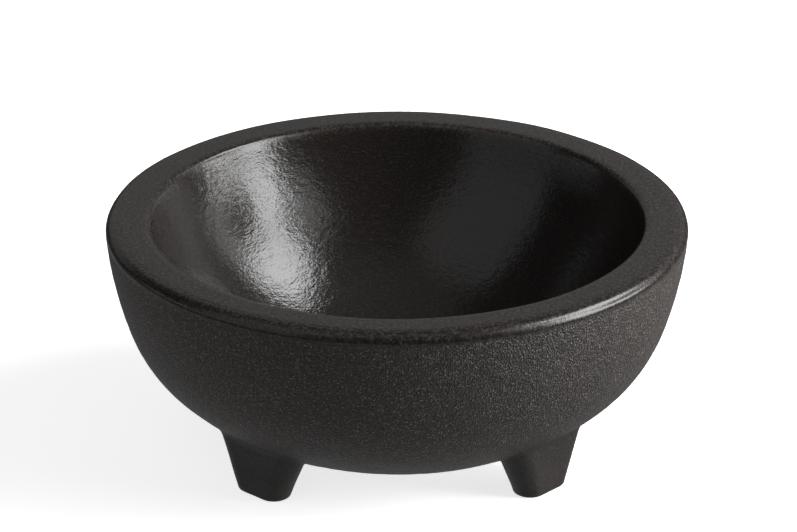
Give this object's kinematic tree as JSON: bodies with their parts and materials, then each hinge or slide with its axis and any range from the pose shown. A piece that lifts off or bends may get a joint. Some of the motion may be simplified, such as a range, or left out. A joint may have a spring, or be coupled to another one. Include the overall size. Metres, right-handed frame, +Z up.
{
  "type": "molcajete",
  "caption": "Thick-walled round serving bowl in moulded stone-look plastic, with a rounded flat rim, a dished inside and short tapered legs set on the diagonals.",
  "frame": {"origin": "on the table, on the bowl's axis, in the middle of the square of feet", "axes": "+Z up along the bowl's axis; -Y is the front; the legs stand on the diagonals between X and Y"},
  "size_m": [0.127, 0.127, 0.0518],
  "materials": {
    "bowl_plastic": "charcoal, fine moulded grit outside, smoother on the rim, satin inside",
    "leg_plastic": "charcoal, fine moulded grit"
  },
  "bodies": {
    "root": {"bowl": "bowl_plastic", "leg_front_left": "leg_plastic", "leg_front_right": "leg_plastic", "leg_back_left": "leg_plastic", "leg_back_right": "leg_plastic"}
  },
  "joints": []
}
